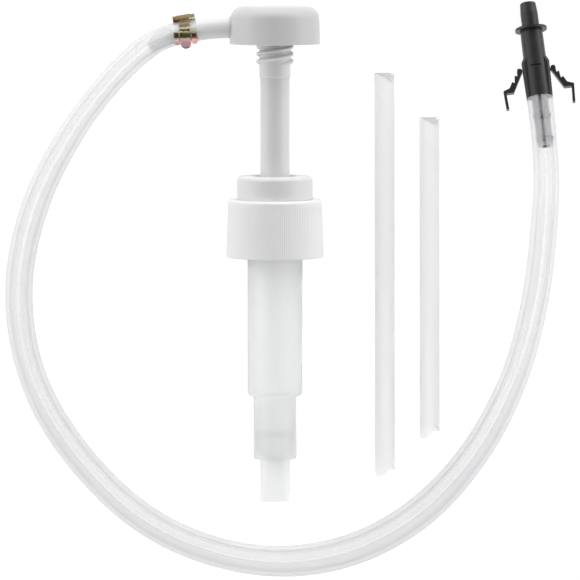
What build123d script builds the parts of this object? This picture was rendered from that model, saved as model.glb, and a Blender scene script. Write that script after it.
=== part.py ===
from build123d import *
import os
from math import atan, atan2, cos, degrees, pi, radians, sin, sqrt, tan

# A hand pump that doses liquid from a bottle through a hose to a push-in connector.
# It lies on a table with its hose in a ring round it and two spare dip tubes beside it.
# Millimetres. Y is the pump's axis, towards its head, and Z points up from the table.
# The origin is on that axis, in the plane where the gasket seals on the bottle's neck.

# Clearances
running_gap = 0.05
seat_gap = 0.02
snap_gap = 0.1
overrun = 2.0

# Screw closure for a 38 mm bottle neck
closure_r = 22.0
closure_shoulder_r = 21.1
closure_height = 26.1
closure_top_wall = 1.35
closure_corner_r = 1.5
closure_bore_r = 19.3
closure_hole_r = 14.2
closure_plain_band = 3.1
closure_bead_height = 1.1
closure_rib_count = 150
closure_rib_depth = 0.12
closure_edge_r = 0.7
neck_thread_crest_r = 18.2
neck_thread_pitch = 4.23
neck_thread_turns = 1.25
neck_thread_depth = 4.5

# Gasket on the neck's rim
gasket_thickness = 1.2
gasket_margin = 0.4

# Housing, the pump's cylinder
flange_thickness = 1.35
flange_margin = 0.7
barrel_r = 12.375
barrel_wall = 1.325
barrel_corner_r = 2.1
barrel_length = 84.8
barrel_floor_wall = 1.5
lower_step = 2.655
lower_wall = 1.37
lower_chamfer = 0.5
lower_length = 28.5
socket_r = 6.66
socket_bore_r = 4.5
socket_depth = 15.5
socket_length = 19.0
socket_lead_in = 0.4
upstand_r = 13.6
upstand_height = 6.8
inlet_hole_r = 2.9
inlet_seat_r = 4.6
inlet_seat_height = 2.9
inlet_floor_wall = 2.7

# Inlet valve
inlet_ball_r = 3.97
inlet_ball_lift = 2.5
cage_top_wall = 1.3
cage_hole_r = 1.3
cage_hole_count = 4

# Collar that holds the closure and guides the stem
collar_r = 17.1
collar_top_y = 14.4
collar_corner_r = 1.8
collar_roof_wall = 3.4
collar_guide_height = 6.0
collar_end_y = -3.0
lock_bore_r = 8.75
lock_bore_chamfer = 1.2
lock_ridge_crest_r = 7.55
lock_ridge_r = 0.65
lock_ridge_turns = 1.0
lock_ridge_setback = 1.3
wiper_r = 8.15
wiper_height = 2.2

# Stem and its piston
stem_r = 6.64
stem_wall = 1.74
stem_top_y = 58.35
spigot_r = 5.2
spigot_wall = 1.5
spigot_length = 18.85
outlet_hole_r = 2.5
outlet_lip = 1.2
bead_r = 8.0
bead_height = 1.5
stroke = 50.0
piston_length = 11.0
piston_waist_r = 10.1
piston_lip_height = 2.2
retainer_flange_r = 9.0
retainer_flange_height = 1.5
retainer_plug_length = 6.0
retainer_bore_r = 3.2

# Outlet valve
outlet_ball_r = 3.2
outlet_ball_lift = 3.0

# Return spring
spring_wire = 1.3
spring_mean_r = 6.9
spring_end_pitch = 2.0
spring_active_turns = 15

# Head
head_rim_r = 20.36
head_top_r = 19.75
head_top_y = 90.45
head_rim_y = 73.6
head_corner_r = 5.4
head_wall = 1.8
boss_r = 8.2
boss_lift = 1.4
sleeve_r = 7.02
sleeve_taper_height = 0.8
lock_major_r = 8.35
lock_thread_r = 0.9
lock_lead = 6.7
lock_thread_low_y = 65.75
lock_run_out_turns = 0.25
spout_r = 4.88
spout_tip_r = 3.95
spout_bore_r = 3.0
spout_rise = 1.2
spout_elbow_setback = 6.0
spout_tip_setback = 3.4

# Hose
hose_r = 6.0
hose_bore_r = 4.0
hose_neck_r = 5.15
corner_share = 0.45

# The hose's route: from the spout's shoulder, down to the table, round the pump and
# up into the connector. Corners of straight runs, joined by arcs.
hose_route = [
    (-34.9, 79.9, 0),
    (-45.4, 78.4, 0),
    (-55.1, 74.1, 0),
    (-63.5, 67.6, 0),
    (-75.5, 55.5, -2),
    (-92, 34, -6.5),
    (-110, 0, -12.5),
    (-118, -40, -16),
    (-111, -81, -16),
    (-89, -117, -16),
    (-56, -148, -16),
    (-12, -163.5, -16),
    (29, -161, -16),
    (65, -143, -16),
    (92, -113, -16),
    (109, -78.5, -10),
    (117.5, -42.5, 1),
    (120.8, -8, 8),
]

# Connector on the hose's far end
tip_end_r = 3.55
tip_r = 3.95
tip_taper_length = 5.0
tip_bore_r = 2.3
tip_edge_r = 0.4
connector_flange_r = 7.2
connector_flange_y = 11.9
connector_flange_height = 1.1
body_r = 5.05
body_shoulder_y = 25.7
wing_top_y = 28.0
wing_top_reach = 6.3
wing_end_reach = 5.9
wing_thickness = 7.0
wing_edge_r = 1.6
body_end_r = 5.35
cup_end_y = 44.4
cup_recess_r = 4.3
cup_recess_depth = 1.2
window_y = 30.2
window_width = 5.4
window_height = 0.7
window_depth = 0.8
ripple_count = 5
ripple_pitch = 1.25
ripple_height = 0.45
ripple_depth = 0.25
insert_r = 3.42
insert_bore_r = 2.0
insert_barb_r = 4.25
insert_top_y = 36.0
insert_end_y = 67.0
insert_barb_ys = [53.6, 64.2]
insert_barb_height = 2.2
insert_groove_count = 6
insert_groove_width = 0.8
insert_groove_depth = 0.5
insert_seam_width = 0.4
connector_lean = 6.7
connector_last_run = 30.0
tip_x = 114.1
tip_y = 91.5

# Toothed spring arms on the connector
arm_width = 3.8
arm_pivot_r = 1.2
arm_pivot_y = 31.6
arm_web = 1.3
arm_splay = 28.6
arm_length = 10.2
tooth_count = 3
tooth_pitch = 3.25
tooth_height = 1.25
foot_reach = 3.4
foot_thickness = 1.2
leg_length = 8.4
leg_lean = 3.0
arm_splay_change = 0.6

# Spring band clamp on the spout
clamp_gap = 0.1
clamp_metal = 0.6
clamp_width = 10.0
clamp_leg_width = 2.1
clamp_tongue_width = 4.7
clamp_ear_height = 2.2
clamp_plate_height = 1.9
clamp_hook = 1.0
clamp_hook_width = 1.6
clamp_tab_length = 3.0
clamp_skew = 3
clamp_setback = 5.4
clamp_upper_ear_angle = 74
clamp_lower_ear_angle = 3
clamp_slot_end_angle = -150
clamp_tab_angle = -30

# Spare dip tubes
dip_tube_wall = 1.1
dip_tube_lean = 0.17
top_notch_turn = 34
low_notch_turn = 44
long_tube_x = 49.4
long_tube_top_y = 60.0
long_tube_length = 183.3
short_tube_x = 69.8
short_tube_top_y = 39.9
short_tube_length = 145.7
notch_depth = 4.0
low_notch_depth = 5.6
low_notch_step = 2.6

# Worked out from the sizes above
table_z = -closure_r
closure_ceiling_y = gasket_thickness + flange_thickness + snap_gap
closure_top_y = closure_ceiling_y + closure_top_wall
closure_end_y = closure_top_y - closure_height
flange_r = closure_bore_r - flange_margin
barrel_shoulder_y = -barrel_length
barrel_bore_r = barrel_r - barrel_wall
lower_r = barrel_r - lower_step
lower_end_y = barrel_shoulder_y - lower_length
socket_end_y = lower_end_y - socket_length
lower_bore_r = lower_r - lower_wall
inlet_floor_y = lower_end_y + inlet_floor_wall
inlet_hole_top_y = inlet_floor_y - inlet_seat_height
inlet_slope = atan((inlet_seat_r - inlet_hole_r) / inlet_seat_height)
inlet_apex_y = inlet_hole_top_y - inlet_hole_r / tan(inlet_slope)
inlet_ball_y = inlet_apex_y + inlet_ball_r / sin(inlet_slope) + seat_gap
cage_ceiling_y = inlet_ball_y + inlet_ball_r + inlet_ball_lift + snap_gap
cage_top_y = cage_ceiling_y + cage_top_wall
collar_foot_y = closure_top_y + snap_gap
collar_barrel_r = barrel_bore_r - running_gap
collar_guide_top_y = collar_end_y + collar_guide_height
piston_top_y = collar_end_y - snap_gap
piston_end_y = piston_top_y - piston_length
bead_top_y = piston_top_y - snap_gap
retainer_top_y = piston_end_y - snap_gap
retainer_end_y = retainer_top_y - retainer_flange_height
stem_bore_r = stem_r - stem_wall
spigot_top_y = stem_top_y + spigot_length
spigot_bore_r = spigot_r - spigot_wall
sleeve_end_y = stem_top_y + running_gap
boss_end_y = head_rim_y + boss_lift
outlet_ball_y = spigot_top_y + sqrt(outlet_ball_r**2 - outlet_hole_r**2) + seat_gap
head_chamber_top_y = outlet_ball_y + outlet_ball_r + outlet_ball_lift + snap_gap
dip_tube_r = socket_bore_r
tip_drop = degrees(atan2(connector_flange_r - tip_end_r, connector_flange_y))
tip_z = table_z + tip_end_r * cos(radians(tip_drop))


def turned(points):
    """A solid turned about the pump's axis from an outline of radius and height."""
    return revolve(make_face(Polyline(*points, close=True)), axis=Axis.Y)


def tube(inner_r, outer_r, low_y, high_y):
    """A plain ring about the pump's axis."""
    return turned([(inner_r, low_y), (outer_r, low_y), (outer_r, high_y), (inner_r, high_y)])


def disc(outer_r, low_y, high_y):
    """A plain cylinder on the pump's axis."""
    return turned([(0, low_y), (outer_r, low_y), (outer_r, high_y), (0, high_y)])


def rounded(outline, corner, radius):
    """A turned solid whose outline has one corner rounded."""
    face = make_face(Polyline(*outline, close=True))
    place = Vector(corner[0], corner[1], 0)
    near = [v for v in face.vertices() if (Vector(v.X, v.Y, v.Z) - place).length < seat_gap]
    return revolve(fillet(near, radius), axis=Axis.Y)


def coil_path(radii, heights, angles):
    """A smooth path of arc pairs through points on a coil about the pump's axis."""
    count = len(angles)
    points = []
    tangents = []
    for i in range(count):
        a, b = max(i - 1, 0), min(i + 1, count - 1)
        span = radians(angles[b] - angles[a])
        grow, climb = (radii[b] - radii[a]) / span, (heights[b] - heights[a]) / span
        s, c = sin(radians(angles[i])), cos(radians(angles[i]))
        points.append(Vector(radii[i] * s, heights[i], radii[i] * c))
        along = Vector(radii[i] * c + grow * s, climb, grow * c - radii[i] * s)
        tangents.append(along.normalized())
    edges = []
    for i in range(count - 1):
        p, q, t, u = points[i], points[i + 1], tangents[i], tangents[i + 1]
        v = q - p
        a, b, c = 2 * (1 - t.dot(u)), 2 * v.dot(t + u), -v.dot(v)
        reach = (sqrt(b * b - 4 * a * c) - b) / (2 * a)
        early, late = p + t * reach, q - u * reach
        middle = (early + late) * 0.5
        edges.append(TangentArc(p, middle, tangent=t).edge())
        edges.append(TangentArc(middle, q, tangent=late - early).edge())
    return Wire(edges)


def round_bar(path, radius):
    """A round bar that follows a path."""
    return sweep(Plane(origin=path @ 0, z_dir=path % 0) * Circle(radius), path=path)


def thread_ridge(crest_r, ridge_r, low_y, lead, turns, phase, inward=False, run_out=0):
    """A rounded screw ridge, which sinks into its wall at its low end if it runs out."""
    centre_r = crest_r + ridge_r if inward else crest_r - ridge_r
    steps = max(2, round(4 * (turns + run_out)))
    angles = [360 * (turns + run_out) * i / steps for i in range(steps + 1)]
    heights = [low_y + lead * (a / 360 - run_out) for a in angles]
    sunk_r = centre_r - 2 * ridge_r
    radii = [sunk_r if run_out and i == 0 else centre_r for i in range(steps + 1)]
    path = coil_path(radii, heights, [phase - 360 * run_out + a for a in angles])
    return round_bar(path, ridge_r)


def corner_radii(points):
    """The largest arcs that the runs on both sides of each corner allow."""
    places = [Vector(*p) for p in points]
    radii = []
    for a, b, c in zip(places, places[1:], places[2:]):
        turn = radians((b - a).get_angle(c - b))
        shorter = min((b - a).length, (c - b).length)
        radii.append(corner_share * shorter / tan(turn / 2))
    return radii


def smooth_run(points, radii):
    """Straight runs through the points, joined by arcs of these radii."""
    return FilletPolyline(*points, radius=radii).wire()


def pipe(path, outer_r, inner_r):
    """A pipe of constant section along a path."""
    start = Plane(origin=path @ 0, z_dir=path % 0)
    return sweep(start * (Circle(outer_r) - Circle(inner_r)), path=path)


# Where the connector lies: on the rim of its tip and on its flange
lean, drop = radians(connector_lean), radians(tip_drop)
connector_axis = Vector(sin(lean) * cos(drop), -cos(lean) * cos(drop), sin(drop))
connector_side = Vector(cos(lean), sin(lean), 0)
connector_tip = Vector(tip_x, tip_y, tip_z)
connector_plane = Plane(origin=connector_tip, x_dir=connector_side, z_dir=connector_axis)
hose_end = connector_tip + connector_axis * cup_end_y
hose_last_corner = hose_end + connector_axis * connector_last_run
route = [Vector(*p) for p in hose_route] + [hose_last_corner, hose_end]
route_radii = corner_radii(route)
neck_end = (route[2] + route[3]) * 0.5
spout_elbow = route[0] + (route[0] - route[1]).normalized() * spout_elbow_setback
spout_root = Vector(-spigot_r, spout_elbow.Y + spout_rise, 0)
spout_radii = corner_radii([spout_root, spout_elbow, route[0]]) + route_radii[:2]
spout_path = smooth_run([spout_root, spout_elbow, route[1], route[2], neck_end], spout_radii)
spout_shoulder_share = spout_path.param_at_point(route[0])
spout_end_share = 1 - spout_tip_setback / spout_path.length


def on_connector(turned_part):
    """Moves a part turned about Y onto the connector's axis, with Y along it."""
    return connector_plane * Rot(X=90) * turned_part


def make_closure():
    """Screw closure with fine grip ribs and the thread for the bottle's neck."""
    rib_top_y = closure_top_y - closure_plain_band
    rib_end_y = closure_end_y + closure_bead_height
    slope = (closure_r - closure_shoulder_r) / (closure_height - closure_bead_height)

    def crest_r(y):
        return closure_r - slope * max(y - rib_end_y, 0)

    def rib_section(y):
        points = []
        for i in range(2 * closure_rib_count):
            turn = pi * i / closure_rib_count
            r = crest_r(y) - closure_rib_depth * (i % 2)
            points.append((r * sin(turn), y, r * cos(turn)))
        return make_face(Polyline(*points, close=True))

    ribs = loft([rib_section(rib_end_y), rib_section(rib_top_y)], ruled=True)
    top_corner = (closure_shoulder_r, closure_top_y)
    cap = rounded(
        [(0, rib_top_y), (crest_r(rib_top_y), rib_top_y), top_corner, (0, closure_top_y)],
        top_corner,
        closure_corner_r,
    )
    edge = (closure_r, closure_end_y)
    bead = rounded([(0, closure_end_y), edge, (closure_r, rib_end_y), (0, rib_end_y)], edge, closure_edge_r)
    body = cap + ribs + bead
    body -= disc(closure_bore_r, closure_end_y - overrun, closure_ceiling_y)
    body -= disc(closure_hole_r, closure_ceiling_y - overrun, closure_top_y + overrun)
    ridge_r = closure_bore_r - neck_thread_crest_r
    low_y = -neck_thread_depth - neck_thread_pitch * neck_thread_turns
    thread = thread_ridge(
        neck_thread_crest_r, ridge_r, low_y, neck_thread_pitch, neck_thread_turns, 0, inward=True
    )
    return body + thread


def make_gasket():
    """Flat ring between the bottle's rim and the housing's flange."""
    return tube(barrel_r + snap_gap, flange_r + gasket_margin, 0, gasket_thickness)


def make_housing():
    """Pump cylinder in three steps, with its flange, inlet seat and dip tube socket."""
    flange_y = gasket_thickness
    flange_top_y = flange_y + flange_thickness
    upstand_y = flange_top_y + upstand_height
    outline = [
        (0, socket_end_y),
        (socket_r, socket_end_y),
        (socket_r, lower_end_y),
        (lower_r - lower_chamfer, lower_end_y),
        (lower_r, lower_end_y + lower_chamfer),
        (lower_r, barrel_shoulder_y),
        (barrel_r, barrel_shoulder_y),
        (barrel_r, flange_y),
        (flange_r, flange_y),
        (flange_r, flange_top_y),
        (upstand_r, flange_top_y),
        (upstand_r, upstand_y),
        (0, upstand_y),
    ]
    body = rounded(outline, (barrel_r, barrel_shoulder_y), barrel_corner_r)
    body -= disc(barrel_bore_r, barrel_shoulder_y + barrel_floor_wall, upstand_y + overrun)
    body -= disc(lower_bore_r, inlet_floor_y, barrel_shoulder_y + overrun)
    socket_top_y = socket_end_y + socket_depth
    body -= turned(
        [
            (0, socket_top_y - overrun),
            (inlet_hole_r, socket_top_y - overrun),
            (inlet_hole_r, inlet_hole_top_y),
            (inlet_seat_r, inlet_floor_y),
            (0, inlet_floor_y),
        ]
    )
    body -= turned(
        [
            (0, socket_end_y),
            (socket_bore_r + socket_lead_in, socket_end_y),
            (socket_bore_r, socket_end_y + socket_lead_in),
            (socket_bore_r, socket_top_y),
            (0, socket_top_y),
        ]
    )
    return body


def make_inlet_cage():
    """Insert that traps the inlet ball and carries the spring."""
    cage = disc(lower_bore_r - running_gap, inlet_floor_y, cage_top_y)
    cavity_r = inlet_seat_r
    cage -= disc(cavity_r, inlet_floor_y - overrun, cage_ceiling_y)
    hole_ring_r = cavity_r - cage_hole_r - snap_gap
    for i in range(cage_hole_count):
        turn = 2 * pi * i / cage_hole_count
        place = Pos(hole_ring_r * sin(turn), 0, hole_ring_r * cos(turn))
        cage -= place * disc(cage_hole_r, cage_ceiling_y - overrun, cage_top_y + overrun)
    return cage


def make_ball(radius, y):
    """Valve ball on the pump's axis."""
    return Pos(0, y, 0) * Sphere(radius)


def make_collar():
    """Collar that snaps over the housing, guides the stem and takes the lock thread."""
    upstand_y = gasket_thickness + flange_thickness + upstand_height
    socket_top_y = upstand_y + snap_gap
    outline = [
        (lock_bore_r, collar_guide_top_y),
        (stem_r + running_gap, collar_guide_top_y),
        (stem_r + running_gap, collar_end_y),
        (collar_barrel_r, collar_end_y),
        (collar_barrel_r, socket_top_y),
        (upstand_r + running_gap, socket_top_y),
        (upstand_r + running_gap, collar_foot_y),
        (collar_r, collar_foot_y),
        (collar_r, collar_top_y),
        (lock_bore_r + lock_bore_chamfer, collar_top_y),
        (lock_bore_r, collar_top_y - lock_bore_chamfer),
    ]
    body = rounded(outline, (collar_r, collar_top_y), collar_corner_r)
    body -= disc(wiper_r + running_gap, collar_end_y - overrun, collar_end_y + wiper_height)
    low_y = collar_top_y - lock_ridge_setback - lock_ridge_r - lock_lead * lock_ridge_turns
    for start in range(2):
        body += thread_ridge(
            lock_ridge_crest_r,
            lock_ridge_r,
            low_y,
            lock_lead,
            lock_ridge_turns,
            180 * start,
            inward=True,
        )
    return body


def make_wiper():
    """Lip ring in the collar's end that wipes the stem."""
    low_y = collar_end_y + snap_gap
    return tube(stem_r + running_gap, wiper_r, low_y, low_y + wiper_height - 2 * snap_gap)


def make_stem():
    """Hollow stem with a bead for the piston and a spigot for the head."""
    body = turned(
        [
            (0, piston_end_y),
            (stem_r, piston_end_y),
            (stem_r, bead_top_y - bead_height),
            (bead_r, bead_top_y - bead_height),
            (bead_r, bead_top_y),
            (stem_r, bead_top_y),
            (stem_r, stem_top_y),
            (spigot_r, stem_top_y),
            (spigot_r, spigot_top_y),
            (0, spigot_top_y),
        ]
    )
    body -= disc(stem_bore_r, piston_end_y - overrun, stem_top_y - stem_wall)
    body -= disc(spigot_bore_r, stem_top_y - stem_wall - overrun, spigot_top_y - outlet_lip)
    body -= disc(outlet_hole_r, spigot_top_y - outlet_lip - overrun, spigot_top_y + overrun)
    return body


def make_piston():
    """Piston with two lips, which turns freely round the stem's end."""
    lip_r = barrel_bore_r - running_gap
    bore_r = stem_r + running_gap
    pocket_r = bead_r + running_gap
    pocket_y = bead_top_y - bead_height - running_gap
    waist_low_y = piston_end_y + piston_lip_height
    waist_top_y = piston_top_y - piston_lip_height
    return turned(
        [
            (bore_r, piston_end_y),
            (lip_r, piston_end_y),
            (lip_r, waist_low_y),
            (piston_waist_r, waist_low_y),
            (piston_waist_r, waist_top_y),
            (lip_r, waist_top_y),
            (lip_r, piston_top_y),
            (pocket_r, piston_top_y),
            (pocket_r, pocket_y),
            (bore_r, pocket_y),
        ]
    )


def make_retainer():
    """Plug in the stem's end that holds the piston on and takes the spring's push."""
    plug_r = stem_bore_r - running_gap
    plug_top_y = piston_end_y + retainer_plug_length
    return turned(
        [
            (retainer_bore_r, retainer_end_y),
            (retainer_flange_r, retainer_end_y),
            (retainer_flange_r, retainer_top_y),
            (plug_r, retainer_top_y),
            (plug_r, plug_top_y),
            (retainer_bore_r, plug_top_y),
        ]
    )


def make_spring():
    """Return spring, one wire with a close turn at each end."""
    half = spring_wire / 2
    low_y = cage_top_y + half + seat_gap
    high_y = retainer_end_y - half - seat_gap
    pitch = (high_y - low_y - 2 * spring_end_pitch) / spring_active_turns
    pitches = [spring_end_pitch] * 2
    pitches += [pitch] * (2 * spring_active_turns)
    pitches += [spring_end_pitch] * 2
    heights = [low_y]
    for p in pitches:
        heights.append(heights[-1] + p / 2)
    angles = [180 * i for i in range(len(heights))]
    path = coil_path([spring_mean_r] * len(heights), heights, angles)
    least = min(heights[i + 2] - heights[i] for i in range(len(heights) - 2)) - spring_wire
    print("spring turns", spring_active_turns + 2, "least gap to itself", round(least, 2))
    return round_bar(path, half)


def make_head():
    """Head: a shell with the lock thread's sleeve below it and the spout at its side."""
    top_corner = (head_top_r, head_top_y)
    rim_corner = (head_rim_r, head_rim_y)
    shell = rounded([(0, head_rim_y), rim_corner, top_corner, (0, head_top_y)], top_corner, head_corner_r)
    ceiling_y = head_top_y - head_wall
    inner_corner = (head_top_r - head_wall, ceiling_y)
    shell -= rounded(
        [
            (0, head_rim_y - overrun),
            (head_rim_r - head_wall, head_rim_y - overrun),
            (head_rim_r - head_wall, head_rim_y),
            inner_corner,
            (0, ceiling_y),
        ],
        inner_corner,
        head_corner_r - head_wall,
    )
    core = turned(
        [
            (0, sleeve_end_y),
            (stem_r, sleeve_end_y),
            (sleeve_r, sleeve_end_y + sleeve_taper_height),
            (sleeve_r, boss_end_y),
            (boss_r, boss_end_y),
            (boss_r, ceiling_y + seat_gap),
            (0, ceiling_y + seat_gap),
        ]
    )
    body = shell + core
    body += round_bar(spout_path.trim(0, spout_shoulder_share), spout_r)
    body += round_bar(spout_path.trim(spout_shoulder_share, spout_end_share), spout_tip_r)
    turns = (boss_end_y - lock_thread_low_y) / lock_lead
    for start in range(2):
        body += thread_ridge(
            lock_major_r,
            lock_thread_r,
            lock_thread_low_y,
            lock_lead,
            turns,
            90 + 180 * start,
            run_out=lock_run_out_turns,
        )
    body -= disc(spigot_r + running_gap, sleeve_end_y - overrun, head_chamber_top_y)
    body -= round_bar(spout_path.trim(0, spout_end_share), spout_bore_r)
    return body


def make_hose():
    """Hose, drawn in where it is pushed over the spout."""
    neck = smooth_run(route[:3] + [neck_end], route_radii[:2])
    rest = smooth_run([neck_end] + route[3:], route_radii[2:])
    print("hose corner radii", [round(r, 1) for r in route_radii])
    neck_pipe = pipe(neck, hose_neck_r, hose_bore_r)
    rest_pipe = pipe(rest, hose_r, hose_bore_r)
    expected = pi * (hose_neck_r**2 - hose_bore_r**2) * neck.length
    expected += pi * (hose_r**2 - hose_bore_r**2) * rest.length
    body = neck_pipe + rest_pipe
    print("hose length", round(neck.length + rest.length, 1))
    print("hose volume", round(body.volume), "section times length", round(expected))
    return body


def make_clamp():
    """Spring band clamp: a forked band, a tongue that passes through it and two ears."""
    band_in = hose_neck_r + clamp_gap
    band_out = band_in + clamp_metal
    ear_out = band_out + clamp_ear_height

    def strip(x, width, start, end):
        """Part of the band between two angles, counted from Z towards Y."""
        face = Plane.XZ * Pos(x, (band_in + band_out) / 2) * Rectangle(width, clamp_metal)
        return revolve(Rot(X=-start) * face, axis=Axis((0, 0, 0), (1, 0, 0)), revolution_arc=start - end)

    def ear(angle, piece):
        """Stands a piece of an ear on the band at an angle, square to the hose."""
        foot = Vector(0, band_out * sin(radians(angle)), band_out * cos(radians(angle)))
        return Pos(foot) * Rot(Z=clamp_skew) * Pos(-foot) * Rot(X=-angle) * piece

    def plate(width, low_r, high_r, x=0):
        """A flat plate of an ear, from one radius to another."""
        return Pos(x, 0, (low_r + high_r) / 2) * Box(width, clamp_metal, high_r - low_r)

    leg_x = (clamp_width - clamp_leg_width) / 2
    back_end = clamp_upper_ear_angle - 360
    body = strip(0, clamp_width, clamp_slot_end_angle, back_end)
    for side in (-1, 1):
        body += strip(side * leg_x, clamp_leg_width, clamp_lower_ear_angle, clamp_slot_end_angle)
        leg_ear_in = band_in + clamp_metal / 2
        body += ear(clamp_lower_ear_angle, plate(clamp_leg_width, leg_ear_in, ear_out, x=side * leg_x))
        hook_x = side * (clamp_width - clamp_hook_width) / 2
        hook = Box(clamp_hook_width, clamp_hook, clamp_metal)
        body += ear(clamp_upper_ear_angle, Pos(hook_x, -clamp_hook / 2, ear_out - clamp_metal / 2) * hook)
    tongue = strip(0, clamp_tongue_width, clamp_upper_ear_angle, clamp_tab_angle)
    tab_face = SlotOverall(2 * clamp_tab_length + clamp_tongue_width, clamp_tongue_width)
    tab = extrude(Rot(Z=90) * tab_face, clamp_metal)
    tab &= Pos(0, -clamp_tab_length, 0) * Box(clamp_width, 2 * clamp_tab_length, clamp_width)
    tongue += Rot(X=-clamp_tab_angle) * Pos(0, 0, band_in) * tab
    body += ear(clamp_upper_ear_angle, plate(clamp_tongue_width, band_in, ear_out))
    body += ear(clamp_upper_ear_angle, plate(clamp_width, ear_out - clamp_plate_height, ear_out))
    body += ear(clamp_lower_ear_angle, plate(clamp_width, band_out + snap_gap, ear_out))
    body += tongue
    heading = (route[0] - route[1]).normalized()
    centre = route[0] - heading * clamp_setback
    return Plane(origin=centre, x_dir=heading, z_dir=(0, 0, 1)) * Rot(Z=-clamp_skew) * body


def make_connector():
    """Connector body: push-in tip, flange, round body and a cup with a wing on each side."""
    rim = tip_edge_r
    flange_end_y = connector_flange_y + connector_flange_height
    outline = [
        (tip_bore_r, 0),
        (tip_end_r - rim, 0),
        (tip_end_r, rim),
        (tip_r, tip_taper_length),
        (tip_r, connector_flange_y),
        (connector_flange_r, connector_flange_y),
        (connector_flange_r, flange_end_y),
        (body_r, flange_end_y),
        (body_end_r, cup_end_y),
        (cup_recess_r, cup_end_y),
        (cup_recess_r, cup_end_y - cup_recess_depth),
        (insert_r + seat_gap, cup_end_y - cup_recess_depth),
        (insert_r + seat_gap, insert_top_y - snap_gap),
        (tip_bore_r, insert_top_y - snap_gap),
    ]
    body = turned(outline)
    wing_outline = [
        (-body_r, body_shoulder_y),
        (-wing_top_reach, wing_top_y),
        (-wing_end_reach, cup_end_y),
        (wing_end_reach, cup_end_y),
        (wing_top_reach, wing_top_y),
        (body_r, body_shoulder_y),
    ]
    wings = extrude(make_face(Polyline(*wing_outline, close=True)), wing_thickness / 2, both=True)
    outer = [e for e in wings.edges() if min(abs(e.center().X), abs(e.center().Z)) > body_r / 2]
    wings = fillet(outer, wing_edge_r)
    wings -= disc(body_r - snap_gap, body_shoulder_y - overrun, cup_end_y + overrun)
    body += wings
    front_z = -body_end_r
    window = Box(window_width, window_height, 2 * window_depth)
    body -= Pos(0, window_y, front_z) * window
    for i in range(ripple_count):
        ripple = Box(window_width, ripple_height, 2 * ripple_depth)
        body -= Pos(0, window_y + (i + 1.5) * ripple_pitch, front_z) * ripple
    return on_connector(body)


def make_insert():
    """Barbed insert that joins the connector's cup to the hose's bore."""
    outline = [(insert_bore_r, insert_top_y), (insert_r, insert_top_y)]
    for y in insert_barb_ys:
        outline += [
            (insert_r, y - insert_barb_height / 2),
            (insert_barb_r, y - insert_barb_height / 2),
            (insert_r, y + insert_barb_height / 2),
        ]
    outline += [(insert_r, insert_end_y), (insert_bore_r, insert_end_y)]
    body = turned(outline)
    groove_low_y = cup_end_y + snap_gap
    groove_length = insert_barb_ys[0] - insert_barb_height - groove_low_y
    groove = Box(insert_groove_width, groove_length, 2 * insert_groove_depth)
    for i in range(insert_groove_count):
        turn = 360 * i / insert_groove_count
        body -= Rot(Y=turn) * Pos(0, groove_low_y + groove_length / 2, insert_r) * groove
    seam_low_y, seam_end_y = [y + insert_barb_height / 2 for y in insert_barb_ys]
    seam = Box(insert_seam_width, seam_end_y - seam_low_y - insert_barb_height, 2 * insert_seam_width)
    for side in (-1, 1):
        body -= Pos(0, (seam_low_y + seam_end_y - insert_barb_height) / 2, side * insert_r) * seam
    return on_connector(body)


def make_arm(side):
    """Toothed spring arm, cut from one outline, with a round root at its pivot."""
    pivot = Vector(wing_top_reach + running_gap + arm_pivot_r, arm_pivot_y, 0)
    splay = radians(arm_splay + side * arm_splay_change)
    along, out = Vector(sin(splay), cos(splay), 0), Vector(cos(splay), -sin(splay), 0)
    inner = pivot - out * arm_pivot_r
    outer = inner + out * arm_web
    points = [inner, inner + along * arm_length]
    foot_low = points[-1] + Vector(foot_reach, 0, 0)
    points.append(foot_low)
    leg_turn = radians(leg_lean)
    leg = Vector(-sin(leg_turn), cos(leg_turn), 0) * leg_length
    points += [foot_low + leg - Vector(0, foot_thickness, 0)]
    points += [points[-1] + Vector(foot_thickness, 0, 0)]
    points += [foot_low + Vector(foot_thickness, -foot_thickness, 0)]
    points += [inner + along * (arm_length - foot_thickness) + out * (arm_web + tooth_height)]
    for i in range(tooth_count - 1, -1, -1):
        start = tooth_pitch * i - arm_pivot_r / 2
        points += [outer + along * start + out * tooth_height]
        points += [outer + along * start]
    arm = extrude(make_face(Polyline(*points, close=True)), arm_width / 2, both=True)
    root = Pos(pivot) * extrude(Circle(arm_pivot_r), arm_width / 2, both=True)
    arm = arm + root
    keep_out = Pos(0, arm_pivot_y, 0) * Box(2 * (wing_top_reach + running_gap), arm_length, arm_width + overrun)
    arm -= keep_out
    if side < 0:
        arm = mirror(arm, about=Plane.YZ)
    return on_connector(arm)


def make_dip_tube(x, top_y, length):
    """Spare dip tube: a vee in the near wall of its top end, a fish mouth at its low end."""
    r = dip_tube_r
    body = tube(r - dip_tube_wall, r, -length, 0)
    wide = r + overrun
    slope = notch_depth / r
    side_y = slope * wide - notch_depth
    top_cut = [(-wide, side_y), (0, -notch_depth), (wide, side_y), (wide, wide), (-wide, wide)]
    valley_y = low_notch_depth - length
    long_y = valley_y - low_notch_depth / r * wide
    short_y = valley_y - (low_notch_depth - low_notch_step) / r * wide
    low_cut = [(-wide, long_y), (0, valley_y), (wide, short_y), (wide, long_y - wide), (-wide, long_y - wide)]
    top_notch = extrude(make_face(Polyline(*top_cut, close=True)), wide, dir=(0, 0, 1))
    low_notch = extrude(make_face(Polyline(*low_cut, close=True)), wide, both=True)
    body -= Rot(Y=top_notch_turn) * top_notch
    body -= Rot(Y=low_notch_turn) * low_notch
    return Pos(x, top_y, table_z + r) * Rot(Z=dip_tube_lean) * body


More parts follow.
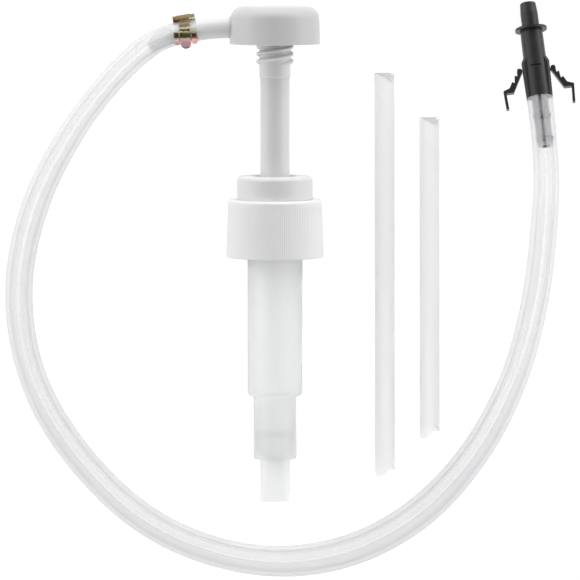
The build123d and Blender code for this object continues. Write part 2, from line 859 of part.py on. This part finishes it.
parts = {
    "closure": make_closure(),
    "gasket": make_gasket(),
    "housing": make_housing(),
    "inlet_cage": make_inlet_cage(),
    "inlet_ball": make_ball(inlet_ball_r, inlet_ball_y),
    "collar": make_collar(),
    "stem_wiper": make_wiper(),
    "stem": make_stem(),
    "piston": make_piston(),
    "piston_retainer": make_retainer(),
    "return_spring": make_spring(),
    "outlet_ball": make_ball(outlet_ball_r, outlet_ball_y),
    "pump_head": make_head(),
    "hose": make_hose(),
    "hose_clamp": make_clamp(),
    "connector": make_connector(),
    "connector_insert": make_insert(),
    "clip_arm_right": make_arm(1),
    "clip_arm_left": make_arm(-1),
    "long_dip_tube": make_dip_tube(long_tube_x, long_tube_top_y, long_tube_length),
    "short_dip_tube": make_dip_tube(short_tube_x, short_tube_top_y, short_tube_length),
}

os.makedirs("parts", exist_ok=True)
for name, part in parts.items():
    export_step(part, "parts/" + name + ".step")
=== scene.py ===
# %% [markdown]
# # A dosing pump, its hose and two spare dip tubes
# The pump lies on a white table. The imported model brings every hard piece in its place, so
# this lesson gives each piece its finish, remakes the soft hose, and lights the table.

import math

import bmesh
import bpy
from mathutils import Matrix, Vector


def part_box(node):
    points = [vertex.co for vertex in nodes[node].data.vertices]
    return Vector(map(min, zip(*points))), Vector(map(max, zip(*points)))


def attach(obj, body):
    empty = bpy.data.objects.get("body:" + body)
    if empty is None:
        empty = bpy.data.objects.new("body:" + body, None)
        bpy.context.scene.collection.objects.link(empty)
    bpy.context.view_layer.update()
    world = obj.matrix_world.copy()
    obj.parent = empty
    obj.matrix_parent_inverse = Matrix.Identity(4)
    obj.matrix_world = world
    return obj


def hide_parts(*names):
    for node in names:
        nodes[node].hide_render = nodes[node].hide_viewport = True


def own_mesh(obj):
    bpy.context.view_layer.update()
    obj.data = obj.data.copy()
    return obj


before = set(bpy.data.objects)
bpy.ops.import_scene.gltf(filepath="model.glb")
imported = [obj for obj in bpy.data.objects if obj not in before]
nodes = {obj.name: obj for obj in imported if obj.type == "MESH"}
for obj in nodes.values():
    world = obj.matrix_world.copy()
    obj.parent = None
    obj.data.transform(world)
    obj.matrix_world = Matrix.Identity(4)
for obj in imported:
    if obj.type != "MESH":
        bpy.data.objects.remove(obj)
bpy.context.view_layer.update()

# %% [markdown]
# ## The camera
# A product picture like this is taken from far above with a long lens, so the pump's round
# pieces show almost no perspective. The camera leans a little towards the pump's head, which
# is why the closure's top edge curves. One point on the table and one distance fix it all.

# %% Camera
CAMERA_TARGET = Vector((0.00675, -0.037, 0.0))
CAMERA_DISTANCE = 2.205
CAMERA_TILT = math.radians(4.7)

lens = bpy.data.cameras.new("camera")
lens.lens = 304.1
lens.sensor_width = 36.0
camera = bpy.data.objects.new("camera", lens)
bpy.context.scene.collection.objects.link(camera)
towards_camera = Vector((0, math.sin(CAMERA_TILT), math.cos(CAMERA_TILT)))
camera_place = CAMERA_TARGET + CAMERA_DISTANCE * towards_camera
camera.location = camera_place
camera.rotation_euler = (-CAMERA_TILT, 0, 0)
bpy.context.scene.camera = camera
print("camera height:", round(camera_place.z, 3), "m")

# %% [markdown]
# ## The hose's line
# A hose is a free length of soft tube, so its line comes first. These are the corners of the
# route that the solid hose follows, in metres. A spline of order three passes smoothly
# inside them, which gives the long even bends that a springy tube takes by itself.

# %% The hose's line
HOSE_CORNERS = [
    (-0.0349, 0.0799, 0.0),
    (-0.0454, 0.0784, 0.0),
    (-0.0551, 0.0741, 0.0),
    (-0.0635, 0.0676, 0.0),
    (-0.0755, 0.0555, -0.002),
    (-0.092, 0.034, -0.0065),
    (-0.11, 0.0, -0.0125),
    (-0.118, -0.04, -0.016),
    (-0.111, -0.081, -0.016),
    (-0.089, -0.117, -0.016),
    (-0.056, -0.148, -0.016),
    (-0.012, -0.1635, -0.016),
    (0.029, -0.161, -0.016),
    (0.065, -0.143, -0.016),
    (0.092, -0.113, -0.016),
    (0.109, -0.0785, -0.01),
    (0.1175, -0.0425, 0.001),
    (0.1208, -0.008, 0.008),
    (0.122399, 0.020856, 0.003211),
    (0.119052, 0.049342, -0.005586),
]


def spline_line(name, corners, steps=24):
    """Points along the smooth spline that has these corners."""
    curve = bpy.data.curves.new(name, "CURVE")
    curve.dimensions = "3D"
    spline = curve.splines.new("NURBS")
    spline.points.add(len(corners) - 1)
    for point, corner in zip(spline.points, corners):
        point.co = (*corner, 1.0)
    spline.order_u = 3
    spline.use_endpoint_u = True
    spline.resolution_u = steps
    holder = bpy.data.objects.new(name, curve)
    bpy.context.scene.collection.objects.link(holder)
    depsgraph = bpy.context.evaluated_depsgraph_get()
    line = bpy.data.meshes.new_from_object(holder.evaluated_get(depsgraph))
    points = [v.co.copy() for v in line.vertices]
    bpy.data.objects.remove(holder)
    bpy.data.curves.remove(curve)
    bpy.data.meshes.remove(line)
    return points


hose_line = spline_line("hose_line", HOSE_CORNERS)
distances = [0.0]
for before, after in zip(hose_line, hose_line[1:]):
    distances.append(distances[-1] + (after - before).length)
print("hose length:", round(distances[-1], 4), "m in", len(hose_line), "points")

# %% [markdown]
# ## The hose's section
# Vinyl hose is coiled when it is packed, and it keeps a flattened section where it was bent
# the most. The outline's length stays the same, so where the hose is wide it is also low.
# This table gives its width along its length, and the height follows from that.

# %% The hose's section
HOSE_RADIUS = 0.006
HOSE_WALL = 0.0019
NECK_END = 0.05
NECK_FADE = 0.024
NECK_WALL_LOSS = 0.42
TABLE_Z = -0.022
HOSE_WIDTHS = [
    (0.0, 0.0103),
    (0.026, 0.0103),
    (0.042, 0.0111),
    (0.1, 0.0112),
    (0.14, 0.0118),
    (0.19, 0.0125),
    (0.3, 0.0124),
    (0.36, 0.0131),
    (0.5, 0.0135),
    (0.6, 0.0146),
    (0.66, 0.0146),
    (0.74, 0.0134),
    (0.8, 0.0124),
    (0.9, 0.0122),
    (0.96, 0.0114),
    (1.0, 0.0117),
]


def width_at(share):
    """The hose's width at a share of its length."""
    for (low, start), (high, end) in zip(HOSE_WIDTHS, HOSE_WIDTHS[1:]):
        if share <= high:
            blend = (share - low) / (high - low)
            blend = blend * blend * (3 - 2 * blend)
            return start + (end - start) * blend
    return HOSE_WIDTHS[-1][1]


def half_height(half_width, radius):
    """The half height of an oval as long round as a circle of this radius."""
    low, high = 0.2 * radius, 2 * radius
    for _ in range(40):
        middle = (low + high) / 2
        h = ((half_width - middle) / (half_width + middle)) ** 2
        around = (half_width + middle) * (1 + 3 * h / (10 + math.sqrt(4 - 3 * h)))
        if around < 2 * radius:
            low = middle
        else:
            high = middle
    return (low + high) / 2


def neck_share(share):
    """One on the spout, where the hose is drawn in, falling to nothing past its end."""
    return min(max((NECK_END - share) / NECK_FADE, 0.0), 1.0)


def make_hose(around=72):
    """The hose as a closed tube with a wall, following its line."""
    bm = bmesh.new()
    tube = bm.loops.layers.uv.new("tube")
    skins = []
    up = Vector((0, 0, 1))
    for wall in (0.0, HOSE_WALL):
        rings = []
        for i, point in enumerate(hose_line):
            ahead = hose_line[min(i + 1, len(hose_line) - 1)]
            behind = hose_line[max(i - 1, 0)]
            along = (ahead - behind).normalized()
            side = along.cross(up).normalized()
            top = side.cross(along).normalized()
            share = distances[i] / distances[-1]
            thin = neck_share(share)
            half_width = width_at(share) / 2
            radius = HOSE_RADIUS + (width_at(0) / 2 - HOSE_RADIUS) * thin
            height = half_height(half_width, radius)
            middle = point - up * max(HOSE_RADIUS - height, 0) * (1 - thin)
            if middle.z - height < TABLE_Z:
                middle = Vector((middle.x, middle.y, TABLE_Z + height))
            inset = wall * (1 - NECK_WALL_LOSS * thin)
            ring = []
            for k in range(around):
                turn = 2 * math.pi * k / around - math.pi / 2
                sideways = side * (half_width - inset) * math.cos(turn)
                upwards = top * (height - inset) * math.sin(turn)
                ring.append(bm.verts.new(middle + (sideways + upwards)))
            rings.append(ring)
        skins.append(rings)
    for rings in skins:
        for i, (ring, next_ring) in enumerate(zip(rings, rings[1:])):
            for k in range(around):
                corners = [
                    (ring, i, k),
                    (next_ring, i + 1, k),
                    (next_ring, i + 1, k + 1),
                    (ring, i, k + 1),
                ]
                face = bm.faces.new([row[turn % around] for row, _, turn in corners])
                for loop, (_, step, turn) in zip(face.loops, corners):
                    loop[tube].uv = (turn / around, distances[step])
    for end in (0, -1):
        outer, inner = skins[0][end], skins[1][end]
        for k in range(around):
            after = (k + 1) % around
            corners = [outer[k], outer[after], inner[after], inner[k]]
            bm.faces.new(corners if end else corners[::-1])
    bmesh.ops.recalc_face_normals(bm, faces=bm.faces)
    mesh = bpy.data.meshes.new("clear_hose")
    bm.to_mesh(mesh)
    bm.free()
    mesh.polygons.foreach_set("use_smooth", [True] * len(mesh.polygons))
    piece = bpy.data.objects.new("clear_hose", mesh)
    bpy.context.scene.collection.objects.link(piece)
    return piece


hose = make_hose()
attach(hose, "head")
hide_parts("hose")
print("hose widths:", [round(1000 * w, 1) for _, w in HOSE_WIDTHS], "mm")

# %% [markdown]
# ## The return spring
# The plunger presses this spring against the cage at the cylinder's foot, so its low end
# stays still and its coils close up. A stiff copy would be pushed out through the foot. This
# one stays on the pump's body, and the length that the stroke would press it to is worked out.

# %% The return spring
STROKE = 0.05
spring_solid = nodes["return_spring"]
spring_low, spring_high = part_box("return_spring")
coil = bpy.data.objects.new("coil_spring", spring_solid.data.copy())
coil.matrix_world = spring_solid.matrix_world.copy()
bpy.context.scene.collection.objects.link(coil)
spring_length = spring_high[1] - spring_low[1]
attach(coil, "pump_body")
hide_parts("return_spring")
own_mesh(coil)
pressed_length = spring_length - STROKE
print("spring:", round(spring_length, 4), "m long, pressed to", round(pressed_length, 4), "m")

# %% [markdown]
# ## Sums between sockets
# A finish is a sum of patterns. One small class wraps a node's output socket, so that a
# pattern can be written as a line of Python, and each operator adds the node that does it.

# %% Sums between sockets
class Field:
    """A value that changes over a surface, held by one output socket."""

    def __init__(self, tree, socket):
        self.tree = tree
        self.socket = socket

    def node(self, kind, settings=None, sockets=None, out=0):
        """Any node: its settings first, then the values or links of its sockets."""
        made = self.tree.nodes.new(kind)
        for name, value in (settings or {}).items():
            if name == "stops":
                while len(made.color_ramp.elements) < len(value):
                    made.color_ramp.elements.new(1.0)
                for element, (place, colour) in zip(made.color_ramp.elements, value):
                    element.position = place
                    element.color = (*colour, 1.0)
            else:
                setattr(made, name, value)
        for name, value in (sockets or {}).items():
            if isinstance(value, Field):
                self.tree.links.new(value.socket, made.inputs[name])
            else:
                made.inputs[name].default_value = value
        return Field(self.tree, made.outputs[out])

    def math(self, operation, *others):
        values = [self, *others]
        return self.node("ShaderNodeMath", {"operation": operation}, dict(enumerate(values)))

    def __add__(self, other):
        return self.math("ADD", other)

    def __radd__(self, other):
        return self.math("ADD", other)

    def __sub__(self, other):
        return self.math("SUBTRACT", other)

    def __rsub__(self, other):
        return self.math("MULTIPLY_ADD", -1.0, other)

    def __mul__(self, other):
        return self.math("MULTIPLY", other)

    def __rmul__(self, other):
        return self.math("MULTIPLY", other)

    def __truediv__(self, other):
        return self.math("DIVIDE", other)

    def clamp(self, low=0.0, high=1.0):
        return self.math("MAXIMUM", low).math("MINIMUM", high)

    def mix(self, first, second):
        """The first colour where this is 0 and the second where it is 1."""
        sockets = {0: self}
        for place, value in ((6, first), (7, second)):
            sockets[place] = value if isinstance(value, Field) else (*value, 1.0)
        return self.node("ShaderNodeMix", {"data_type": "RGBA"}, sockets, out=2)

    def vector_math(self, operation, *others, out=0):
        values = [self, *others]
        settings = {"operation": operation}
        return self.node("ShaderNodeVectorMath", settings, dict(enumerate(values)), out)

    def dot(self, direction):
        return self.vector_math("DOT_PRODUCT", direction, out=1)

    def less(self, place):
        return self.vector_math("SUBTRACT", place)

    def cross(self, direction):
        return self.vector_math("CROSS_PRODUCT", direction)

    def length(self):
        return self.vector_math("LENGTH", out=1)

    def stretch(self, scale):
        return self.vector_math("MULTIPLY", scale)

    def noise(self, scale, detail=3.0, roughness=0.5):
        sockets = {"Vector": self, "Scale": scale, "Detail": detail, "Roughness": roughness}
        return self.node("ShaderNodeTexNoise", None, sockets)

    def ramp(self, *stops):
        """A colour ramp, from pairs of a place and a colour."""
        return self.node("ShaderNodeValToRGB", {"stops": stops}, {0: self})

    def levels(self, *stops):
        """A grey ramp, from pairs of a place and a level."""
        return self.ramp(*((place, (level,) * 3) for place, level in stops))


class Finish:
    """A material with one main shader, whose sockets are set by name."""

    def __init__(self, name, **values):
        self.material = bpy.data.materials.new(name)
        self.material.use_nodes = True
        self.tree = self.material.node_tree
        self.shader = self.tree.nodes["Principled BSDF"]
        where = self.tree.nodes.new("ShaderNodeTexCoord")
        self.place = Field(self.tree, where.outputs["Object"])
        self.facing = Field(self.tree, where.outputs["Normal"])
        self.set(**values)

    def set(self, **values):
        for name, value in values.items():
            socket = self.shader.inputs[name.replace("_", " ")]
            if isinstance(value, Field):
                self.tree.links.new(value.socket, socket)
            elif socket.type == "RGBA":
                socket.default_value = (*value, 1.0)
            else:
                socket.default_value = value

    def bump(self, height, strength, distance):
        sockets = {"Height": height, "Strength": strength, "Distance": distance}
        self.set(Normal=height.node("ShaderNodeBump", None, sockets))

    def pass_light(self, share):
        """Lets a share of the room's light straight through, to what lies behind."""
        rays = self.tree.nodes.new("ShaderNodeLightPath")
        passed = Field(self.tree, rays.outputs["Is Shadow Ray"]) * share
        body = Field(self.tree, self.shader.outputs[0])
        clear = passed.node("ShaderNodeBsdfTransparent")
        both = passed.node("ShaderNodeMixShader", None, {0: passed, 1: body, 2: clear})
        self.tree.links.new(both.socket, self.tree.nodes["Material Output"].inputs["Surface"])

    def on(self, *names):
        for name in names:
            piece = nodes[name] if name in nodes else bpy.data.objects[name]
            piece.data.materials.clear()
            piece.data.materials.append(self.material)
        print(self.material.name, "on", ", ".join(names))


# %% [markdown]
# ## White mouldings
# The closure, collar, head and stem are injection-moulded polypropylene: a plain white with
# a low, slightly uneven gloss. Soft noise in the colour and the roughness keeps it from
# looking like paint, and a very fine bump gives the faint orange peel of the mould. The head's
# colour is a darker grey, which is painted shade. Its spout and threaded sleeve are painted
# paler, and paler still under the hose: painted light against the shade of the rim and hose.

# %% White mouldings
def white_moulding(name, colour, roughness, grain=0.04):
    finish = Finish(name, IOR=1.49)
    cloud = finish.place.noise(55.0, detail=4.0)
    finish.tone = cloud.mix(tuple(c * (1 - grain) for c in colour), colour)
    finish.set(Base_Color=finish.tone, Roughness=cloud * 0.12 + (roughness - 0.06))
    finish.bump(finish.place.noise(900.0, detail=2.0), 0.06, 0.0002)
    return finish


white_moulding("closure_white", (0.85, 0.85, 0.85), 0.42).on("closure")
white_moulding("collar_white", (0.77, 0.77, 0.77), 0.4).on("collar")
white_moulding("stem_white", (0.76, 0.76, 0.76), 0.3).on("stem")
# The head's grey colour is painted shade.
head_white = white_moulding("head_white", (0.61, 0.61, 0.615), 0.36)
HEAD_SIDE = 0.02
HOSE_EDGE = 0.0345
SLEEVE_TOP = 0.074
leftwards = head_white.place.dot((-1.0, 0.0, 0.0))
spout = ((leftwards - HEAD_SIDE) / 0.001).clamp()
sleeve = ((head_white.place.dot((0.0, -1.0, 0.0)) + SLEEVE_TOP) / 0.0005).clamp()
# The spout and sleeve get a paler colour, paler still under the hose: painted light.
thin = spout.math("MAXIMUM", sleeve)
under_hose = ((leftwards - HOSE_EDGE) / 0.001).clamp()
painted_light_tone = under_hose.mix((0.8, 0.8, 0.805), (0.96, 0.96, 0.965))
head_white.set(Base_Color=thin.mix(head_white.tone, painted_light_tone))
head_white.pass_light(0.3)
head_white.on("pump_head")

# %% [markdown]
# ## Natural plastic
# The housing and the dip tubes are unpigmented plastic. Most light goes through the wall and
# is scattered on its way, so nothing shows behind it, and a share of the room's light passes
# on, which keeps the shadows pale. Grain drawn out along the piece gives the faint flow lines.
# The housing's colour is darker below the piston's reach, at its foot and on its flanks: painted
# shade.

# %% Natural plastic
def natural_plastic(name, colour, roughness, clearness, ior=1.3, share=0.7):
    finish = Finish(name, IOR=ior)
    grain = finish.place.stretch((1.0, 0.06, 1.0)).noise(260.0, detail=2.0)
    finish.tone = grain.ramp((0.35, tuple(c * 0.955 for c in colour)), (0.65, colour))
    finish.set(
        Base_Color=finish.tone,
        Roughness=grain * 0.1 + (roughness - 0.05),
        Transmission_Weight=clearness,
    )
    finish.pass_light(share)
    return finish


housing_natural = natural_plastic("housing_natural", (0.958, 0.961, 0.961), 0.75, 0.85)
FOOT_Y = -0.111
EMPTY_Y = -0.05
lengthwise = housing_natural.place.dot((0.0, 1.0, 0.0))
# Darker colour below the piston's reach, at the foot and on the flanks is painted shade.
foot = ((lengthwise - FOOT_Y) / -0.003).clamp()
empty = ((lengthwise - EMPTY_Y) / -0.012).clamp()
painted_shade_barrel_tone = empty.mix(housing_natural.tone, (0.92, 0.925, 0.925))
painted_shade_foot_tone = foot.mix(painted_shade_barrel_tone, (0.9, 0.905, 0.9))
painted_flank_shade = housing_natural.facing.dot((1.0, 0.0, 0.0)).math("ABSOLUTE").math("POWER", 4.0)
housing_natural.set(Base_Color=painted_flank_shade.mix(painted_shade_foot_tone, (0.86, 0.865, 0.865)))
housing_natural.on("housing")
natural_plastic("inner_natural", (0.97, 0.97, 0.97), 0.5, 0.3).on("inlet_cage", "piston_retainer")
natural_plastic("seal_natural", (0.85, 0.86, 0.88), 0.5, 0.1).on("piston", "stem_wiper", "gasket")

# %% [markdown]
# ## The dip tubes
# Across the tube the colour is darker towards its sides, painted shade, and paler along the
# middle, a painted highlight. At the cut top end the bore's far wall shows by itself, in the
# shade of the near one, and the part of the bore beyond the cut is painted greyer as that shade.

# %% The dip tubes
TUBE_RADIUS = 0.0045
BORE_RADIUS = 0.0034
SOFT_EDGE = 0.0003
CUT_START = Vector((-0.0037, 0.0, 0.0))
CUT_FACING = (0.54, 0.84, 0.0)
dip_tube = natural_plastic("dip_tube_natural", (0.985, 0.985, 0.99), 0.4, 0.85, ior=1.2)
tops = {}
for name in ("long_dip_tube", "short_dip_tube"):
    low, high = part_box(name)
    tops[name] = Vector((low[0] + TUBE_RADIUS, high[1], (low[2] + high[2]) / 2))
long_top, short_top = tops.values()
LEAN = Vector((1.0, math.tan(math.radians(0.17)), 0.0))
from_axis = dip_tube.place.less(long_top).dot(LEAN)
between = (short_top - long_top).dot(LEAN)
from_axis = from_axis - from_axis.math("GREATER_THAN", between / 2) * between
# Painted shade towards the tube's sides and a painted highlight along its middle.
painted_light_bands = (from_axis / (2 * TUBE_RADIUS) + 0.5).levels(
    (0.0, 0.9),
    (0.28, 0.75),
    (0.38, 0.0),
    (0.44, 0.35),
    (0.58, 0.15),
    (0.72, 0.7),
    (1.0, 0.9),
)
painted_band_tone = painted_light_bands.mix(dip_tube.tone, (0.925, 0.925, 0.93))
tube_shade = None
for top in tops.values():
    offset = dip_tube.place.less(top)
    off_axis = offset.stretch((1.0, 0.0, 1.0)).length()
    inside = ((off_axis - BORE_RADIUS) / -SOFT_EDGE + 1.0).clamp()
    mark = inside * (offset.less(CUT_START).dot(CUT_FACING) / SOFT_EDGE).clamp()
    tube_shade = mark if tube_shade is None else tube_shade.math("MAXIMUM", mark)
dip_tube.set(Base_Color=tube_shade.mix(painted_band_tone, (0.5, 0.5, 0.51)))
dip_tube.on("long_dip_tube", "short_dip_tube")
print("dip tube tops:", [tuple(round(v, 4) for v in top) for top in tops.values()])

# %% [markdown]
# ## Steel inside
# The two valve balls and the return spring are hidden at rest, but they are stainless steel,
# and the spring shows fine draw lines along its wire.

# %% Steel inside
ball_steel = Finish("ball_steel", Metallic=1.0, Base_Color=(0.75, 0.75, 0.76))
ball_steel.set(Roughness=ball_steel.place.noise(400.0) * 0.08 + 0.08)
ball_steel.on("inlet_ball", "outlet_ball")
spring_steel = Finish("spring_steel", Metallic=1.0)
drawn = spring_steel.place.noise(600.0, detail=4.0)
steel_tone = drawn.mix((0.82, 0.82, 0.83), (0.92, 0.92, 0.92))
spring_steel.set(Base_Color=steel_tone, Roughness=drawn * 0.2 + 0.22)
spring_steel.on("coil_spring")

# %% [markdown]
# ## Clear vinyl
# The hose is clear but a little milky. Its skins are a thin haze, densest at the sides, where
# the wall is seen along its length, and their colour is darker there as painted shade. A painted
# highlight runs along the top as a clearer strip in the haze. It is narrow on the upper bend,
# and wide with a denser dark edge where the hose lies flattened.

# %% Clear vinyl
clear_vinyl = Finish("clear_vinyl", IOR=1.5)
haze = clear_vinyl.place.noise(45.0, detail=3.0)
tube = haze.node("ShaderNodeUVMap", {"uv_map": "tube"})
around = tube.dot((1.0, 0.0, 0.0))
along = tube.dot((0.0, 1.0, 0.0))
sideways = (around * 2.0 - 1.0).math("ABSOLUTE")
veil = sideways.levels(
    (0.0, 0.25),
    (0.2, 0.26),
    (0.27, 0.38),
    (0.46, 0.54),
    (0.54, 0.54),
    (0.73, 0.32),
    (0.8, 0.13),
)
# The strip below is a painted highlight: a clearer line in the haze, with a denser dark edge
# where it is wide.
wander = tube.stretch((0.0, 1.0, 0.0)).noise(7.0, detail=1.0)
across = around + wander * 0.1 - 0.05
narrow_painted_highlight = across.levels(
    (0.46, 1.0),
    (0.485, 0.1),
    (0.505, 0.1),
    (0.535, 1.1),
    (0.6, 1.0),
)
wide_painted_highlight = across.levels(
    (0.35, 1.0),
    (0.43, 1.15),
    (0.468, 1.4),
    (0.488, 1.4),
    (0.503, 0.15),
    (0.53, 0.4),
    (0.59, 0.5),
    (0.64, 1.05),
)
flattened = ((along - 0.16) / 0.06).clamp() - ((along - 0.47) / 0.05).clamp()
line = flattened.mix(narrow_painted_highlight, wide_painted_highlight)
# A darker colour at the hose's sides is painted shade.
painted_rim_shade = sideways.levels(
    (0.2, 0.0),
    (0.42, 1.0),
    (0.58, 1.0),
    (0.8, 0.0),
)
milk_and_painted_rim_shade = painted_rim_shade.mix(haze.mix((0.93, 0.93, 0.95), (0.96, 0.96, 0.98)), (0.78, 0.78, 0.8))
clear_vinyl.set(Base_Color=milk_and_painted_rim_shade, Roughness=haze * 0.1 + 0.3, Alpha=veil * line)
clear_vinyl.on("clear_hose")

# %% [markdown]
# ## Yellow zinc
# A zinc coat with a chromate film shows the colours of a thin film: gold, with pink, green
# and violet where the film is thicker. A ramp over the clamp's height, stirred by a little
# noise, gives these bands, with pale cream painted highlights and near-black painted shade
# among them, and the clamp's right leg has a ramp of its own.

# %% Yellow zinc
zinc = Finish("yellow_zinc", Metallic=0.55)
CLAMP_LOW, CLAMP_HIGH = 0.0715, 0.0875
RIGHT_LEG_X = -0.0382
height = (zinc.place.dot((0.0, 1.0, 0.0)) - CLAMP_LOW) / (CLAMP_HIGH - CLAMP_LOW)
band_place = height + zinc.place.noise(420.0, detail=2.0) * 0.08 - 0.04
# Pale cream bands in these ramps are painted highlights and near-black bands are painted shade.
film_tints_and_painted_light = band_place.ramp(
    (0.03, (0.2, 0.1, 0.08)),
    (0.07, (0.5, 0.3, 0.33)),
    (0.16, (0.5, 0.29, 0.32)),
    (0.26, (0.7, 0.42, 0.42)),
    (0.3, (0.75, 0.48, 0.42)),
    (0.33, (0.06, 0.07, 0.03)),
    (0.44, (0.16, 0.17, 0.05)),
    (0.46, (1.0, 0.93, 0.62)),
    (0.5, (1.0, 0.9, 0.6)),
    (0.515, (0.07, 0.03, 0.03)),
    (0.56, (0.12, 0.06, 0.05)),
    (0.575, (1.0, 0.95, 0.6)),
    (0.61, (0.85, 0.75, 0.38)),
    (0.64, (0.13, 0.11, 0.06)),
    (0.78, (0.15, 0.11, 0.06)),
    (0.82, (0.5, 0.28, 0.18)),
    (0.87, (0.85, 0.66, 0.3)),
    (0.93, (0.95, 0.78, 0.5)),
    (0.98, (0.6, 0.45, 0.2)),
)
right_leg = ((zinc.place.dot((1.0, 0.0, 0.0)) - RIGHT_LEG_X) / SOFT_EDGE).clamp()
leg_film_tints_and_painted_light = band_place.ramp(
    (0.26, (0.75, 0.42, 0.38)),
    (0.3, (0.5, 0.2, 0.16)),
    (0.34, (0.16, 0.04, 0.04)),
    (0.44, (0.12, 0.05, 0.04)),
    (0.46, (0.95, 0.95, 0.6)),
    (0.56, (1.0, 0.95, 0.7)),
    (0.8, (0.4, 0.35, 0.14)),
    (0.9, (0.75, 0.75, 0.45)),
)
zinc.set(
    Base_Color=right_leg.mix(film_tints_and_painted_light, leg_film_tints_and_painted_light),
    Roughness=zinc.place.noise(700.0) * 0.15 + 0.2,
)
zinc.on("hose_clamp")

# %% [markdown]
# ## Black acetal
# The connector is moulded acetal, nearly black with a satin gloss. Its sides show faint
# flow lines, so the bump is stretched along the connector.

# %% Black acetal
acetal = Finish("black_acetal", IOR=1.48)
flow = acetal.place.stretch((1.0, 0.25, 1.0)).noise(500.0, detail=3.0)
black = flow.mix((0.008, 0.008, 0.009), (0.02, 0.02, 0.021))
acetal.set(Base_Color=black, Roughness=flow * 0.15 + 0.26)
acetal.bump(flow, 0.15, 0.0003)
acetal.on("connector", "clip_arm_left", "clip_arm_right")

# %% [markdown]
# ## The grey insert
# The barbed insert inside the hose is smoky grey and lets a little light in. It is darker
# near the connector. A dark ring at each barb and the darker bore are painted shade, and the
# paler lengthwise grooves are painted light.

# %% The grey insert
INSERT_BORE = 0.0024
GROOVE_RADIUS = 0.0032
INSERT_SHOWN = 0.025
smoke = Finish("smoky_insert", IOR=1.49, Transmission_Weight=0.2)
insert_end = Vector(HOSE_CORNERS[-1])
insert_line = (Vector(HOSE_CORNERS[-2]) - insert_end).normalized()
from_line = smoke.place.less(insert_end).cross(insert_line).length()
wall = ((from_line - INSERT_BORE) / SOFT_EDGE).clamp()
# Paler colour in the grooves is painted light.
painted_groove_light = wall * ((from_line - GROOVE_RADIUS) / -0.0002).clamp()
from_end = smoke.place.less(insert_end).dot(insert_line)
# The dark ring at each barb is painted shade.
ring = (from_end / INSERT_SHOWN).levels(
    (0.0, 0.55),
    (0.36, 0.4),
    (0.39, 0.95),
    (0.42, 0.95),
    (0.45, 0.1),
    (0.8, 0.2),
    (0.82, 0.8),
    (0.85, 0.0),
)
cloud = smoke.place.noise(300.0, detail=2.0)
grey = cloud.mix((0.3, 0.31, 0.32), (0.46, 0.47, 0.48))
grey = painted_groove_light.mix(ring.mix(grey, (0.12, 0.12, 0.125)), (0.75, 0.75, 0.76))
# The darker bore is painted shade.
smoke.set(Base_Color=wall.mix((0.3, 0.3, 0.31), grey), Roughness=cloud * 0.1 + 0.35)
smoke.on("connector_insert")

# %% [markdown]
# ## The table and the light
# The table is plain white. Seen by the camera it glows a little, so it is as white as in a
# catalogue picture and still keeps the pump's soft shadow. The light is a big pale room:
# bright round the horizon and dim overhead, so that round pieces are darker along their
# middle and bright at their edges. It is brightest at the sides and beyond the pump's head,
# and one small lamp high on the left adds a soft shine.

# %% The table
TABLE_GAP = 0.00005
TABLE_GLOW = 1.36
GLOW_SHARE = 0.62


def make_table():
    bm = bmesh.new()
    bmesh.ops.create_grid(bm, x_segments=8, y_segments=8, size=3.0)
    mesh = bpy.data.meshes.new("table")
    bm.to_mesh(mesh)
    bm.free()
    table = bpy.data.objects.new("table", mesh)
    table.location = (0, 0, TABLE_Z - TABLE_GAP)
    bpy.context.scene.collection.objects.link(table)
    material = bpy.data.materials.new("table_white")
    material.use_nodes = True
    tree = material.node_tree
    tree.nodes.clear()
    rays = tree.nodes.new("ShaderNodeLightPath")
    sight = Field(tree, rays.outputs["Is Camera Ray"])
    sight = sight.math("MAXIMUM", Field(tree, rays.outputs["Is Transmission Ray"]))
    sight = sight.math("MAXIMUM", Field(tree, rays.outputs["Is Glossy Ray"]))
    matt = sight.node("ShaderNodeBsdfDiffuse", None, {"Color": (0.85, 0.85, 0.85, 1.0)})
    shine = {"Color": (1.0, 1.0, 1.0, 1.0), "Strength": TABLE_GLOW}
    glow = sight.node("ShaderNodeEmission", None, shine)
    veil = sight.node("ShaderNodeMixShader", None, {0: sight * GLOW_SHARE, 1: matt, 2: glow})
    output = tree.nodes.new("ShaderNodeOutputMaterial")
    tree.links.new(veil.socket, output.inputs["Surface"])
    table.data.materials.append(material)
    return table


print("table at z", TABLE_Z, "m:", make_table().name)

# %% The light
ROOM_STRENGTH = 1.48
LAMP_STRENGTH = 2.0
LAMP_NARROWNESS = 60.0
world = bpy.data.worlds.new("pale_room")
bpy.context.scene.world = world
world.use_nodes = True
tree = world.node_tree
tree.nodes.clear()
look = Field(tree, tree.nodes.new("ShaderNodeTexCoord").outputs["Generated"])
height = look.dot((0.0, 0.0, 1.0)).clamp()
glow = height.levels((0.0, 1.0), (0.3, 0.85), (0.6, 0.25), (1.0, 0.06))
across = look.dot((1.0, 0.0, 0.0))
endways = look.dot((0.0, 1.0, 0.0))
leaning = look.dot((0.12, 0.6, 0.0)) + across * across * 0.6 + endways * endways * 0.9 + 0.97
lamp_place = Vector((-0.6, 0.2, 0.77)).normalized()
lamp = look.dot(lamp_place).clamp().math("POWER", LAMP_NARROWNESS)
light = glow * leaning * ROOM_STRENGTH + lamp * LAMP_STRENGTH
rays = tree.nodes.new("ShaderNodeLightPath")
sight = Field(tree, rays.outputs["Is Camera Ray"])
sight = sight.math("MAXIMUM", Field(tree, rays.outputs["Is Transmission Ray"]))
seen = sight.mix(light, (1.0, 1.0, 1.0))
room = look.node("ShaderNodeBackground", None, {"Color": seen, "Strength": 1.0})
print("world:", world.name)
output = tree.nodes.new("ShaderNodeOutputWorld")
tree.links.new(room.socket, output.inputs["Surface"])
bpy.context.scene.view_settings.view_transform = "Standard"
